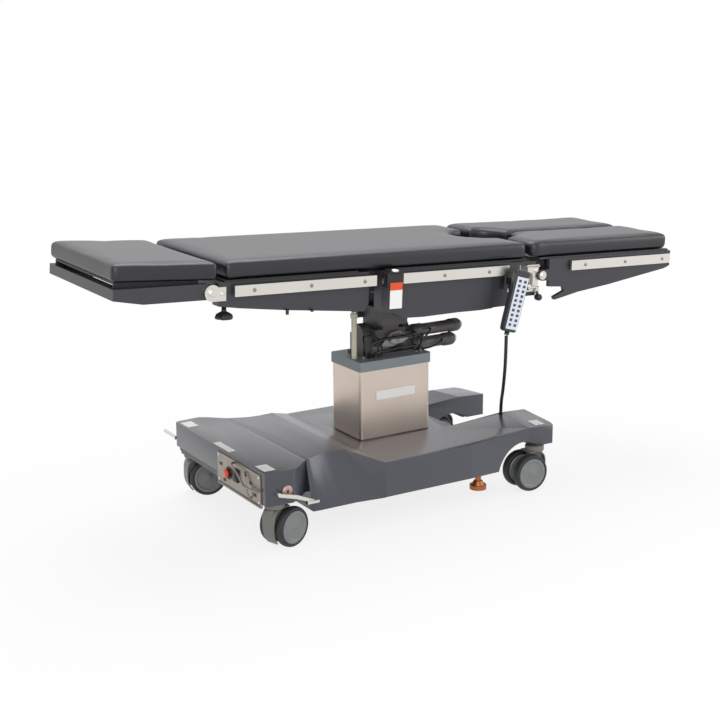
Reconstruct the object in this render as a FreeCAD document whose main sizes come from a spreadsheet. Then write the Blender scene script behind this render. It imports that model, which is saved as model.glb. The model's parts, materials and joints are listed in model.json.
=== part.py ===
import FreeCAD, Part
import math
import os

import Sketcher

# Electric operating table: a wheeled base, a telescopic column, a two-way tilt head and
# a top of five cushioned sections.
# Frame: +X points to the foot end, +Y to the far side, +Z up. The origin is on the floor
# under the column. Everything above the tilt head is drawn level and then turned
# about the tilt axis by table_tilt, the small head-up tilt in which the table stands.

V = FreeCAD.Vector
doc = FreeCAD.newDocument("operating_table")
sheet = doc.addObject("Spreadsheet::Sheet", "sizes")

SIZES = {
    "top_height": 846.0, "pad_bottom": 794.0, "table_tilt": 2.2, "head_rise": 2.4, "pad_half": 260.0,
    "pad_edge": 12.0, "soft_gap": 0.3, "board_thick": 6.0, "frame_top": 787.7,
    "pad_head": -1033.0, "head_seam": -705.0, "main_head": -690.0, "fold_head": -246.0,
    "fold_foot": -110.0, "seat_foot": 396.0, "leg_head": 407.0, "pad_foot": 1013.0,
    "leg_split": 3.0, "cutout_long": 105.0, "cutout_half": 105.0,
    "beam_in": 209.0, "beam_thick": 40.0, "beam_out": 249.0, "cross_low": 750.0,
    "rail_low": 747.0, "rail_height": 32.0, "rail_thick": 9.0, "rail_in": 261.0,
    "run_clear": 0.05, "face_clear": 0.5,
    "back_pivot_x": -178.0, "back_pivot_z": 766.0, "back_pin": 10.0, "back_eye": 18.0,
    "head_pivot_x": -732.0, "head_pivot_z": 761.0, "head_pin": 8.0, "head_eye": 20.0,
    "leg_pivot_x": 462.0, "leg_pivot_z": 735.0, "leg_pin": 8.0, "leg_eye": 18.0,
    "spread_x": 425.0, "spread_y": 226.0, "spread_pin": 8.0,
    "trend_z": 600.0, "lateral_z": 540.0, "shaft": 15.0, "cheek_in": 62.0, "cheek_thick": 22.0,
    "guide_half": 250.0, "guide_in": 118.0, "guide_thick": 24.0, "guide_low": 705.0,
    "guide_height": 24.0, "deck": 209.0, "deck_high": 247.0, "column_half_x": 134.5,
    "column_half_y": 91.0, "sleeve_wall": 3.0, "sleeve_step": 3.4, "sleeve_low": 212.0,
    "column_top": 438.0, "cap_lip": 4.0, "cap_height": 32.0, "floor_plate": 170.0, "barrel": 42.0,
    "stage": 32.0, "lift_rod": 25.0, "cover_wall": 4.0, "skirt_low": 95.0, "pod_low": 146.0,
    "castor_head_x": -556.0, "castor_head_y": 285.0, "castor_foot_x": 440.0,
    "castor_foot_y": 268.0, "castor_trail": 38.0, "wheel_radius": 62.5, "wheel_inset": 17.0,
    "wheel_width": 30.0, "axle": 6.0, "stem": 12.0, "plate_low": 146.5,
    "foot_x": 194.0, "foot_y": 285.0, "foot_radius": 27.5,
    "foot_low": 43.0, "handset_lean": 16.0, "handset_width": 57.0, "handset_length": 200.0,
    "handset_thick": 30.0, "cord_radius": 5.5,
}
for row, (alias, number) in enumerate(SIZES.items(), start=1):
    sheet.set("A" + str(row), alias)
    sheet.set("B" + str(row), str(number))
    sheet.setAlias("B" + str(row), alias)
doc.recompute()


class Dim:
    """A length that carries its number and the sheet formula that gives it."""

    def __init__(self, value, text):
        self.value = float(value)
        self.text = text

    def join(self, other, sign, value):
        return Dim(value, "(" + self.text + " " + sign + " " + dim(other).text + ")")

    def __add__(self, other):
        return self.join(other, "+", self.value + dim(other).value)

    def __sub__(self, other):
        return self.join(other, "-", self.value - dim(other).value)

    def __mul__(self, other):
        return self.join(other, "*", self.value * dim(other).value)

    def __truediv__(self, other):
        return self.join(other, "/", self.value / dim(other).value)

    def __neg__(self):
        return Dim(-self.value, "(0 - " + self.text + ")")

    def __radd__(self, other):
        return dim(other) + self

    def __rsub__(self, other):
        return dim(other) - self


def dim(number):
    """A plain number as a Dim; a Dim as itself."""
    if isinstance(number, Dim):
        return number
    return Dim(number, repr(float(number)))


class Sizes:
    """Gives each sheet value by its name, as a Dim."""

    def __getattr__(self, name):
        return Dim(SIZES[name], "sizes." + name)


S = Sizes()
NODES = {}
serial = [0]


def fresh(stem):
    """A new internal object name."""
    serial[0] += 1
    return stem + "_" + str(serial[0])


def bind(obj, **lengths):
    """Bind properties of an object to sheet formulas."""
    for prop, size in lengths.items():
        obj.setExpression(prop, dim(size).text)
    return obj


def move(obj, x, y, z):
    """Bind the three coordinates of an object's place."""
    for key, size in zip("xyz", (x, y, z)):
        obj.setExpression("Placement.Base." + key, dim(size).text)
    return obj


def box(x, y, z):
    """A block between two coordinates on each axis."""
    b = doc.addObject("Part::Box", fresh("block"))
    bind(b, Length=dim(x[1]) - x[0], Width=dim(y[1]) - y[0], Height=dim(z[1]) - z[0])
    return move(b, x[0], y[0], z[0])


TURN = {
    "x": FreeCAD.Rotation(V(0, 1, 0), 90),
    "y": FreeCAD.Rotation(V(1, 0, 0), -90),
    "z": FreeCAD.Rotation(),
}


def rod(axis, x, y, z, radius, length):
    """A cylinder that starts at x, y, z and runs along the positive axis."""
    c = doc.addObject("Part::Cylinder", fresh("rod"))
    c.Placement = FreeCAD.Placement(V(), TURN[axis])
    bind(c, Radius=radius, Height=length)
    return move(c, x, y, z)


def cone(x, y, z, bottom, top, height):
    """A cone frustum standing on x, y, z."""
    c = doc.addObject("Part::Cone", fresh("cone"))
    bind(c, Radius1=bottom, Radius2=top, Height=height)
    return move(c, x, y, z)


def fuse(*parts):
    """One solid from parts that touch or overlap."""
    f = doc.addObject("Part::MultiFuse", fresh("fuse"))
    f.Shapes = list(parts)
    f.Refine = True
    return f


def cut(base, *tools):
    """The base with the tools taken away."""
    tool = tools[0] if len(tools) == 1 else fuse(*tools)
    c = doc.addObject("Part::Cut", fresh("cut"))
    c.Base = base
    c.Tool = tool
    c.Refine = True
    return c


def group(*parts):
    """Separate solids that share one node."""
    g = doc.addObject("Part::Compound", fresh("group"))
    g.Links = list(parts)
    return g


def mirrored(part):
    """The same piece on the other side of the table's middle plane."""
    m = doc.addObject("Part::Mirroring", fresh("mirror"))
    m.Source = part
    m.Base = V(0, 0, 0)
    m.Normal = V(0, 1, 0)
    return m


def origin_plane(body, role):
    """The body's own origin plane of that role."""
    return next(f for f in body.Origin.OriginFeatures if f.Role == role)


def outline(body, role, points):
    """A closed sketch outline whose corners are all held by the sheet."""
    sketch = body.newObject("Sketcher::SketchObject", fresh("outline"))
    sketch.AttachmentSupport = [(origin_plane(body, role), "")]
    sketch.MapMode = "FlatFace"
    corners = [V(dim(a).value, dim(b).value, 0) for a, b in points]
    count = len(corners)
    for i in range(count):
        sketch.addGeometry(Part.LineSegment(corners[i], corners[(i + 1) % count]))
    for i in range(count):
        sketch.addConstraint(Sketcher.Constraint("Coincident", i, 2, (i + 1) % count, 1))
    for i, pair in enumerate(points):
        for kind, size in zip(("DistanceX", "DistanceY"), pair):
            index = sketch.addConstraint(
                Sketcher.Constraint(kind, -1, 1, i, 1, dim(size).value)
            )
            sketch.setExpression("Constraints[" + str(index) + "]", dim(size).text)
    return sketch


def side_plate(points, y, thick):
    """A plate cut to an outline in the XZ plane, from y towards +Y."""
    body = doc.addObject("PartDesign::Body", fresh("plate"))
    sketch = outline(body, "XZ_Plane", points)
    pad = body.newObject("PartDesign::Pad", fresh("pad"))
    pad.Profile = sketch
    bind(pad, Length=thick)
    pad.Reversed = True
    body.setExpression("Placement.Base.y", dim(y).text)
    return body


def flat_plate(points, z, thick):
    """A plate cut to an outline in the XY plane, from z upwards."""
    body = doc.addObject("PartDesign::Body", fresh("plate"))
    sketch = outline(body, "XY_Plane", points)
    pad = body.newObject("PartDesign::Pad", fresh("pad"))
    pad.Profile = sketch
    bind(pad, Length=thick)
    body.setExpression("Placement.Base.z", dim(z).text)
    return body


def rounded(part, radius, test):
    """Round the edges that the test picks."""
    doc.recompute()
    f = doc.addObject("Part::Fillet", fresh("round"))
    f.Base = part
    r = dim(radius).value
    f.Edges = [(i + 1, r, r) for i, e in enumerate(part.Shape.Edges) if test(e)]
    return f


def along(axis):
    """A test for straight edges along one axis."""
    way = {"x": V(1, 0, 0), "y": V(0, 1, 0), "z": V(0, 0, 1)}[axis]

    def test(edge):
        if edge.Curve.TypeId != "Part::GeomLine":
            return False
        return abs(edge.tangentAt(edge.FirstParameter).dot(way)) > 0.999

    return test


def tilted_about(x, z, degrees):
    """A turn about the Y axis through x, z."""
    return FreeCAD.Placement(V(), FreeCAD.Rotation(V(0, 1, 0), degrees), V(x, 0, z))


TABLE_TURN = tilted_about(0, SIZES["trend_z"], SIZES["table_tilt"])
HEAD_TURN = TABLE_TURN.multiply(
    tilted_about(SIZES["head_pivot_x"], SIZES["head_pivot_z"], SIZES["head_rise"])
)
LEVEL = FreeCAD.Placement()


def node(label, part, place=LEVEL):
    """Name a finished sub-part and set its place."""
    if place is not LEVEL:
        part = group(part)
        part.Placement = place
    part.Label = label
    NODES[label] = part
    return part


def both(part):
    """A piece and its mirror image as one group."""
    return group(part, mirrored(part))


FRAME_TOP = S.frame_top
BOARD_TOP = FRAME_TOP + S.board_thick
RUN = S.run_clear


# Cushions
def cushion(x0, x1, y0, y1, ends):
    """A cushion block with soft upper edges; ends tells whether its end edges are soft too."""
    block = box((x0, x1), (y0, y1), (S.pad_bottom, S.top_height))
    top = S.top_height.value

    def upper(edge):
        low = edge.BoundBox.ZMin < top - 0.01
        return not low and (ends or edge.BoundBox.XLength > 1)

    return rounded(block, S.pad_edge, upper)


def cutout(z0, z1, grow):
    """The rounded opening in the foot end of the seat."""
    straight = S.cutout_long - S.cutout_half
    x0 = S.seat_foot - straight
    hole = rod("z", x0, 0, z0, S.cutout_half + grow, dim(z1) - z0)
    mouth = box((x0, S.seat_foot + 50), (-S.cutout_half - grow, S.cutout_half + grow), (z0, z1))
    return fuse(hole, mouth)


def leg_cutout(z0, z1, grow):
    """The part of the round opening that reaches into the leg plates."""
    return rod("z", S.seat_foot + 7, 0, z0, S.cutout_half + grow, dim(z1) - z0)


def cushions():
    head = cushion(S.pad_head, S.head_seam, -S.pad_half, S.pad_half, True)
    node("head_pad", head, HEAD_TURN)
    back = cushion(S.main_head, S.fold_head, -S.pad_half, S.pad_half, False)
    node("back_pad", back, TABLE_TURN)
    fold = cushion(S.fold_head + S.soft_gap, S.fold_foot - S.soft_gap, -S.pad_half, S.pad_half, False)
    node("pad_fold", fold, TABLE_TURN)
    seat = cushion(S.fold_foot, S.seat_foot, -S.pad_half, S.pad_half, False)
    seat = cut(seat, cutout(S.pad_bottom - 1, S.top_height + 1, 0))
    node("seat_pad", seat, TABLE_TURN)
    leg = box((S.leg_head, S.pad_foot), (-S.pad_half + 3, -S.leg_split), (S.pad_bottom, S.top_height))
    leg = rounded(leg, dim(30), along("z"))
    leg = rounded(leg, S.pad_edge, lambda edge: edge.BoundBox.ZMin > SIZES["top_height"] - 0.01)
    wedge = side_plate([(S.leg_head - 5, S.pad_bottom), (S.leg_head, S.pad_bottom),
                        (S.leg_head + 10, S.top_height), (S.leg_head - 5, S.top_height)],
                       -S.pad_half - 5, S.pad_half + 10)
    leg = cut(leg, wedge, leg_cutout(S.pad_bottom - 1, S.top_height + 1, 0))
    node("near_leg_pad", leg, TABLE_TURN)
    node("far_leg_pad", mirrored(leg), TABLE_TURN)


def rail(x0, x1, screws):
    """A near side rail with its spacers."""
    z = S.rail_low
    bar = box((x0, x1), (-S.rail_in - S.rail_thick, -S.rail_in), (z, z + S.rail_height))
    posts = []
    for x in screws:
        posts.append(rod("y", x, -S.rail_in - 2, z + S.rail_height / 2, 7, S.rail_in + 2 - S.beam_out))
    return fuse(bar, *posts)


def back_section():
    bottom = [(-707, 719), (-640, 709), (-490, 692), (-218, 667), (-205, 690)]
    points = bottom + [(-205.0, FRAME_TOP), (-707.0, FRAME_TOP)]
    beam = side_plate(points, -S.beam_out, S.beam_thick)
    eye_x = S.back_pivot_x
    lug = box((-240.0, eye_x), (-189.5, -170.0), (748.0, 784.0))
    lug_end = rod("y", eye_x, -189.5, S.back_pivot_z, S.back_eye, 19.5)
    bore = rod("y", eye_x, -200, S.back_pivot_z, S.back_pin + RUN, 40)
    lug = cut(fuse(lug, lug_end), bore)
    head_lug = box((S.head_pivot_x, -700.0), (-233.0, -215.0), (743.0, 779.0))
    head_end = rod("y", S.head_pivot_x, -233, S.head_pivot_z, 18, 18)
    pin = rod("y", S.head_pivot_x, -256.5, S.head_pivot_z, S.head_pin, 30)
    side = fuse(beam, lug, head_lug, head_end, pin)
    bars = []
    for x in (-700.0, -480.0, -250.0):
        bars.append(box((x, x + 35), (-S.beam_in - 1, S.beam_in + 1), (S.cross_low, FRAME_TOP)))
    node("back_frame", fuse(side, mirrored(side), *bars), TABLE_TURN)
    board = box((S.main_head, S.fold_head), (-252.0, 252.0), (FRAME_TOP, BOARD_TOP - S.soft_gap))
    node("back_board", board, TABLE_TURN)
    node("back_rails", both(rail(-665, -190, (-603, -416, -232))), TABLE_TURN)
    disc = rod("y", S.head_pivot_x, -264, S.head_pivot_z, 24, 7.5)
    plate = box((S.head_pivot_x, -690.0), (-264.0, -256.5), (737.0, 777.0))
    spacer = box((-705.0, -692.0), (-257.0, -S.beam_out), (745.0, 775.0))
    node("head_knuckles", both(fuse(disc, plate, spacer)), TABLE_TURN)
    stem = rod("z", -680, -229, 694, 7, 19.6)
    knob = cone(-680, -229, 678, 27, 17, 20)
    node("head_lock_knob", fuse(stem, knob), TABLE_TURN)


def head_section():
    out = -1025.0
    points = [(-745, 787), (S.head_pivot_x, 781), (S.head_pivot_x, 741), (-745, 741), (-936, 734),
              (out, 746), (out, 777)]
    arm = side_plate(points, -255, 19.5)
    eye = rod("y", S.head_pivot_x, -255, S.head_pivot_z, S.head_eye, 19.5)
    bore = rod("y", S.head_pivot_x, -260, S.head_pivot_z, S.head_pin + RUN, 40)
    arm = cut(fuse(arm, eye), bore)
    end = box((out, out + 6), (-245.0, 245.0), (746.0, 777.0))
    bars = []
    for x in (-1005.0, -905.0, -800.0):
        bars.append(box((x, x + 24), (-236.0, 236.0), (752.0, 772.0)))
    node("head_frame", fuse(arm, mirrored(arm), end, *bars), HEAD_TURN)
    board = box((-1015.0, -762.0), (-232.0, 232.0), (dim(772.3), S.pad_bottom - S.soft_gap))
    lower = box((-1016.0, -761.0), (-225.0, 225.0), (dim(772.0), BOARD_TOP - 6))
    node("head_board", cut(board, lower), HEAD_TURN)
    cross = rod("y", -893, -215, 746.7, 5, 60)
    grip = rod("x", -975, -208, 746.7, 4, 84)
    node("head_release", fuse(cross, grip), HEAD_TURN)


def seat_section():
    points = [(-160, 664), (-116, 654), (-75, 635), (-2, 633), (129, 637), (217, 637), (285, 641),
              (330, 642), (330.0, FRAME_TOP), (-160.0, FRAME_TOP)]
    beam = side_plate(points, -S.beam_out, S.beam_thick)
    recess = box((258.0, 331.0), (-S.beam_out - 1, -S.beam_out + 6), (640.0, FRAME_TOP - 10))
    beam = cut(beam, recess)
    eye_x = S.back_pivot_x
    lug = box((eye_x, -130.0), (-209.5, -190.0), (748.0, 784.0))
    lug_end = rod("y", eye_x, -208.5, S.back_pivot_z, S.back_eye, 18.5)
    pin = rod("y", eye_x, -195, S.back_pivot_z, S.back_pin, 30)
    root = box((-150.0, -120.0), (-209.5, -190.0), (748.0, 784.0))
    high_ear = box((320.0, 445.0), (-240.0, -212.0), (772.0, 782.0))
    low_ear = box((320.0, 445.0), (-240.0, -212.0), (668.0, 680.0))
    bore = rod("z", S.spread_x, -S.spread_y, 660, S.spread_pin + RUN, 130)
    ears = cut(fuse(high_ear, low_ear), bore)
    carriages = []
    for x in (-110.0, 50.0):
        block = box((x, x + 60), (-152.0, -108.0), (712.0, 751.0))
        slot = box((x - 1, x + 61), (-S.guide_in - S.guide_thick - S.face_clear, -S.guide_in + S.face_clear),
                   (dim(711.0), S.guide_low + S.guide_height + S.face_clear))
        carriages.append(cut(block, slot))
    side = fuse(beam, lug, lug_end, pin, root, ears, *carriages)
    bars = []
    for x0, x1 in ((-150.0, -50.0), (50.0, 110.0), (290.0, 330.0)):
        bars.append(box((x0, x1), (-S.beam_in - 1, S.beam_in + 1), (S.cross_low, FRAME_TOP)))
    node("seat_frame", fuse(side, mirrored(side), *bars), TABLE_TURN)
    board = box((-150.0, S.seat_foot), (-252.0, 252.0), (FRAME_TOP, BOARD_TOP - S.soft_gap))
    node("seat_board", cut(board, cutout(FRAME_TOP - 1, BOARD_TOP + 1, 4)), TABLE_TURN)
    node("seat_rails", both(rail(-166, 312, (-100, 60, 232))), TABLE_TURN)


def leg_section(name, far):
    x0 = S.leg_pivot_x
    z0 = S.leg_pivot_z
    block = box((402.0, 456.0), (-240.0, -212.0), (681.0, 771.0))
    tail = box((450.0, x0), (-240.0, -212.0), (719.0, 751.0))
    end = rod("y", x0, -240, z0, 16, 28)
    pin = rod("y", x0, -255, z0, S.leg_pin, 61)
    upright = rod("z", S.spread_x, -S.spread_y, 669, S.spread_pin, 112)
    bracket = fuse(block, tail, end, pin, upright)
    sides = [(x0, 717), (490, 717), (490, 696), (552, 692), (556, 677), (514, 660), (518, 650),
             (618, 670), (747, 686), (1002, 726), (1026, 735), (1026.0, FRAME_TOP), (488.0, FRAME_TOP),
             (488, 753), (x0, 753)]
    outer = side_plate(sides, -255, 14)
    outer_eye = rod("y", x0, -255, z0, S.leg_eye, 14)
    inner_arm = box((x0, 560.0), (-211.0, -193.0), (717.0, 753.0))
    inner_eye = rod("y", x0, -211, z0, S.leg_eye, 18)
    riser = box((500.0, 560.0), (-211.0, -193.0), (740.0, FRAME_TOP))
    bore = rod("y", x0, -260, z0, S.leg_pin + RUN, 80)
    panel = box((450.0, 1018.0), (-250.0, -10.0), (FRAME_TOP, BOARD_TOP - S.soft_gap))
    panel = cut(panel, leg_cutout(FRAME_TOP - 1, BOARD_TOP + 1, 4))
    inner_side = box((510.0, 1018.0), (-20.0, -10.0), (755.0, FRAME_TOP))
    cross_a = box((520.0, 540.0), (-242.0, -10.0), (750.0, FRAME_TOP))
    cross_b = box((1006.0, 1026.0), (-242.0, -10.0), (745.0, FRAME_TOP))
    frame = cut(fuse(outer, outer_eye, inner_arm, inner_eye, riser, panel, inner_side, cross_a, cross_b), bore)
    z = S.rail_low
    bar = box((571.0, 1012.0), (-S.rail_in - S.rail_thick, -S.rail_in), (z, z + S.rail_height))
    posts = [rod("y", x, -S.rail_in - 2, z + 16, 7, S.rail_in + 2 - 255) for x in (630, 806, 976)]
    pieces = {"bracket": bracket, "frame": frame, "rail": fuse(bar, *posts)}
    for part_name, piece in pieces.items():
        node(name + "_leg_" + part_name, mirrored(piece) if far else piece, TABLE_TURN)


# Tilt head: pedestal, cross block, cradle with the guide rails
def tilt_head():
    top = S.column_top + S.cap_height
    sides = []
    for x in (60.0, -90.0):
        sides.append(box((x, x + 30), (-45.0, 45.0), (top, dim(540.0))))
        sides.append(rod("x", x, 0, S.lateral_z, 35, 30))
    sole = box((-90.0, 90.0), (-60.0, 60.0), (top, top + 10))
    bore = rod("x", -120, 0, S.lateral_z, S.shaft + RUN, 240)
    node("tilt_pedestal", cut(fuse(sole, *sides), bore))
    low = box((-58.0, 58.0), (-60.0, 60.0), (505.0, 560.0))
    upper = box((-30.0, 30.0), (-61.5, 61.5), (558.0, 625.0))
    pins = rod("x", -89, 0, S.lateral_z, S.shaft, 178)
    cross_bore = rod("y", 0, -80, S.trend_z, S.shaft + RUN, 160)
    node("tilt_cross", cut(fuse(low, upper, pins), cross_bore))
    cheek = box((-50.0, 50.0), (-S.cheek_in - S.cheek_thick, -S.cheek_in), (578.0, 695.0))
    plate = box((-90.0, 90.0), (-150.0, 150.0), (690.0, S.guide_low))
    shaft = rod("y", 0, -S.cheek_in - 10, S.trend_z, S.shaft, (S.cheek_in + 10) * 2)
    guide = box((-S.guide_half, S.guide_half), (-S.guide_in - S.guide_thick, -S.guide_in),
                (S.guide_low, S.guide_low + S.guide_height))
    guide = fuse(cheek, guide)
    lid = box((-90.0, 90.0), (-S.guide_in - S.guide_thick, -S.guide_in), (dim(700.0), S.guide_low + 1))
    node("slide_cradle", fuse(plate, shaft, guide, lid, mirrored(guide), mirrored(lid)), TABLE_TURN)
    lower = rod("x", 90, -46, top + 24, 22, 168)
    upper = rod("x", 90, -46, top + 69, 22, 190)
    ends = [rod("x", 258, -46, top + 24, 15, 8), rod("x", 280, -46, top + 69, 15, 8)]
    saddle = box((120.0, 134.5), (-56.0, -36.0), (top, top + 60))
    node("tilt_actuators", fuse(lower, upper, saddle, *ends))
    stem = rod("z", -120, -30, top, 9, 626 - top)
    node("hydraulic_post", fuse(stem, rod("z", -120, -30, 604, 12, 14)))


def sleeve(inset, z0, z1):
    """A rounded box tube; inset is its step inside the outermost sleeve."""
    hx = S.column_half_x - inset
    hy = S.column_half_y - inset
    wall = S.sleeve_wall
    outside = rounded(box((-hx, hx), (-hy, hy), (z0, z1)), dim(12) - inset * 0.6, along("z"))
    inside = box((-hx + wall, hx - wall), (-hy + wall, hy - wall), (dim(z0) - 1, dim(z1) + 1))
    inside = rounded(inside, dim(9) - inset * 0.6, along("z"))
    return cut(outside, inside)


def column():
    step = S.sleeve_step
    node("outer_sleeve", sleeve(dim(0), S.sleeve_low, S.column_top))
    node("middle_sleeve", sleeve(step, S.sleeve_low + 2, S.column_top - 6))
    node("inner_sleeve", sleeve(step * 2, S.floor_plate, S.column_top - 10))
    hx = S.column_half_x + S.cap_lip
    hy = S.column_half_y + S.cap_lip
    cap = rounded(box((-hx, hx), (-hy, hy), (S.column_top, S.column_top + S.cap_height)), dim(12), along("z"))
    node("column_cap", cap)
    z = S.floor_plate
    barrel = rod("z", 0, 0, z, S.barrel, 252)
    node("lift_barrel", cut(barrel, rod("z", 0, 0, z + 4, S.stage + RUN, 260)))
    stage = rod("z", 0, 0, z + 5, S.stage, 255)
    node("lift_stage", cut(stage, rod("z", 0, 0, z + 10, S.lift_rod + RUN, 260)))
    node("lift_rod", rod("z", 0, 0, z + 11, S.lift_rod, S.column_top - z - 11))


# Base
def faceted(first, last):
    """A solid with flat faces between two outlines with the same number of corners."""
    near = [V(*[dim(c).value for c in point]) for point in first]
    far = [V(*[dim(c).value for c in point]) for point in last]
    faces = [Part.Face(Part.makePolygon(ring + ring[:1])) for ring in (near, far)]
    for i in range(len(near)):
        j = (i + 1) % len(near)
        for ring in ([near[i], near[j], far[j]], [near[i], far[j], far[i]]):
            faces.append(Part.Face(Part.makePolygon(ring + ring[:1])))
    solid = Part.Solid(Part.Shell(faces))
    if solid.Volume < 0:
        solid.reverse()
    feature = doc.addObject("Part::Feature", fresh("faceted"))
    feature.Shape = solid
    return feature


def plan(points, z0, z1):
    """A plate whose outline is given for the near side and mirrored to the far side."""
    ring = list(points) + [(x, -y) for x, y in reversed(points)]
    return flat_plate(ring, z0, dim(z1) - z0)


def base_form(w):
    """The outer form of the cover (w = 0) or its hollow (w = wall)."""
    high = S.deck_high - w
    mid = S.deck - w
    low = S.skirt_low - w
    head = [(-602 + w, -315 + w), (-590 + w, -322 + w), (-515 - w, -328 + w), (-490 - w, -312 + w),
            (-453 - w, -277 + w), (-432 + w, -260 + w * 1.5)]
    deck = plan(head, S.pod_low - w, high)
    # The waist: its upper edge is scooped in, its lower edge runs straight
    waist = [(-436 + w, 264, 306, 247), (-416, 255, 308, 247), (-371, 238, 308, 247), (-336, 235, 308, 247),
             (-284, 240, 308, 247), (-185, 320, 320, 209)]
    rings = []
    for x, upper, lower, top in waist:
        rings.append([(x, -upper + w, top - w), (x, -lower + w, low), (x, lower - w, low), (x, upper - w, top - w)])
    links = [faceted(one, two) for one, two in zip(rings, rings[1:])]
    middle = plan([(-187, -318 + w * 1.5), (143, -317 + w), (144, -126 + w), (215 - w, -126 + w)], low, mid)
    arm = faceted([(142, -118 - w, mid), (142, -317 + w, mid), (142, -317 + w, low), (142, -118 - w, low)],
                  [(405, -118 - w, 227 - w), (405, -283 + w, 214 - w), (405, -283 + w, low - 10),
                   (405, -118 - w, low - 10)])
    pod_floor = S.pod_low - w
    pod = faceted([(404, -118 - w, 227 - w), (404, -283 + w, 214 - w), (404, -283 + w, pod_floor),
                   (404, -118 - w, pod_floor)],
                  [(512 - w, -118 - w, 222 - w), (512 - w, -286 + w, 209 - w), (512 - w, -286 + w, pod_floor),
                   (512 - w, -118 - w, pod_floor)])
    corner = flat_plate([(497 - w, -300), (520, -300), (520, -240 + w)], 100, 150)
    pod = cut(pod, corner)
    return fuse(deck, middle, arm, pod, mirrored(arm), mirrored(pod), *links)


def base():
    wall = S.cover_wall.value
    shell = cut(base_form(0), base_form(wall))
    holes = []
    for y in (-400.0, 100.0):
        holes.append(rod("y", 372, y, 62, 108, 300))
        holes.append(box((408.0, 520.0), (dim(y), dim(y) + 300), (60.0, S.pod_low)))
    holes.append(box((-132.0, 132.0), (-88.5, 88.5), (190.0, 215.0)))
    holes.append(rod("z", 400, -132, 200, 8.8, 60))
    holes.append(box((-610.0, -595.0), (-290.5, -2.5), (140.0, 235.5)))
    holes.append(box((-610.0, -588.0), (12.0, 330.0), (140.0, 166.0)))
    holes.append(rod("y", -570, -400, 186, 5.3, 800))
    for x, y in CASTORS:
        if x.value < 0:
            holes.append(rod("z", x, y, 130, 34, 18))
    shell = cut(shell, *holes)
    # Two mouldings with a fine seam where the head deck meets the waist
    head_half = cut(shell, box((-436.4, 700.0), (-400.0, 400.0), (0.0, 300.0)))
    foot_half = cut(shell, box((-700.0, -436.0), (-400.0, 400.0), (0.0, 300.0)))
    node("base_cover", group(head_half, foot_half))
    floor = S.floor_plate
    low = S.plate_low
    head = plan([(-598, -290), (-590, -306), (-522, -318), (-462, -268), (-420, -240), (-215, -220)], low, floor)
    middle = plan([(-216, -128), (-178, -308), (140, -306), (140, -120), (208, -120)], low, floor)
    parts = [head, middle]
    for y in (-170.0, 124.0):
        parts.append(box((130.0, 440.0), (dim(y), dim(y) + 46), (178.0, 200.0)))
        parts.append(box((125.0, 141.0), (dim(y), dim(y) + 46), (low, dim(200.0))))
    for y in (-276.0, 124.0):
        parts.append(box((425.0, 492.0), (dim(y), dim(y) + 152), (low, dim(200.0))))
    holes = []
    for x, y in CASTORS:
        holes.append(rod("z", x, y, low - 1, S.stem + RUN, 20))
    for sign in (1, -1):
        parts.append(rod("z", S.foot_x, S.foot_y * sign, 128, 18, 36))
        holes.append(rod("z", S.foot_x, S.foot_y * sign, 127, 10 + RUN, 30))
    for sign in (1, -1):
        y = S.foot_y * sign
        parts.append(box((130.0, S.foot_x + 10), (y - 12, y + 12), (low, floor)))
    chassis = cut(fuse(*parts), *holes)
    node("base_chassis", chassis)


CASTORS = [
    (S.castor_head_x, -S.castor_head_y), (S.castor_head_x, S.castor_head_y),
    (S.castor_foot_x, -S.castor_foot_y), (S.castor_foot_x, S.castor_foot_y),
]

def base_fittings():
    panel = box((-605.0, -598.0), (-290.0, -3.0), (132.0, 235.0))
    node("end_panel", cut(panel, rod("x", -610, -82, 185, 13 + RUN, 20)))
    node("red_button", rod("x", -618, -82, 185, 13, 24))
    gland = rod("z", 400, -132, 200.3, 8.5, 24)
    node("cord_gland", cut(gland, rod("z", 400, -132, 195, S.cord_radius + S.soft_gap, 40)))
    shaft = rod("y", -570, -345, 186, 5, 690)
    arm = side_plate([(-578, 190), (-572, 178), (-517, 163), (-445, 136), (-439, 143), (-512, 174)], -345, 8)
    tread = box((-480.0, -440.0), (-352.0, -337.0), (140.0, 148.0))
    side_arm = box((-598.0, -562.0), (337.0, 346.0), (180.0, 192.0))
    side_bar = rod("y", -592, 340, 186, 6, 92)
    node("brake_pedals", fuse(shaft, arm, tread, side_arm, side_bar))
    feet = []
    for sign in (1, -1):
        x = S.foot_x
        y = S.foot_y * sign
        disc = rod("z", x, y, S.foot_low, S.foot_radius, 14)
        neck = cone(x, y, S.foot_low + 14, S.foot_radius * 0.8, 14, 14)
        feet.append(fuse(disc, neck, rod("z", x, y, S.foot_low + 27, 10, 85)))
    node("levelling_feet", group(*feet))
    node("nameplate", box((-76.0, 74.0), (-93.0, -91.0), (338.0, 368.0)))


def castor(index, degrees):
    x, y = CASTORS[index]
    place = FreeCAD.Placement(V(x.value, dim(y).value, 0), FreeCAD.Rotation(V(0, 0, 1), degrees))
    r = S.wheel_radius
    trail = S.castor_trail
    slab_round = rod("y", trail, -15, r, 46, 30)
    slab = box((-20.0, trail + 20), (-15.0, 15.0), (r, dim(130.0)))
    disc = rod("z", 0, 0, 128, 32, 18)
    stem = rod("z", 0, 0, 145, S.stem, 20)
    bore = rod("y", trail, -16, r, S.axle + RUN, 32)
    node("castor_fork_" + str(index + 1), cut(fuse(slab_round, slab, disc, stem), bore), place)
    inset = S.wheel_inset
    tyres = []
    for start in (inset, -inset - S.wheel_width):
        wheel = rod("y", trail, start, r, r, S.wheel_width)
        tyres.append(rounded(wheel, dim(7), lambda edge: edge.Length > 300))
    axle = rod("y", trail, -inset - 2, r, S.axle, inset * 2 + 4)
    node("castor_wheel_" + str(index + 1), fuse(axle, *tyres), place)


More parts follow.
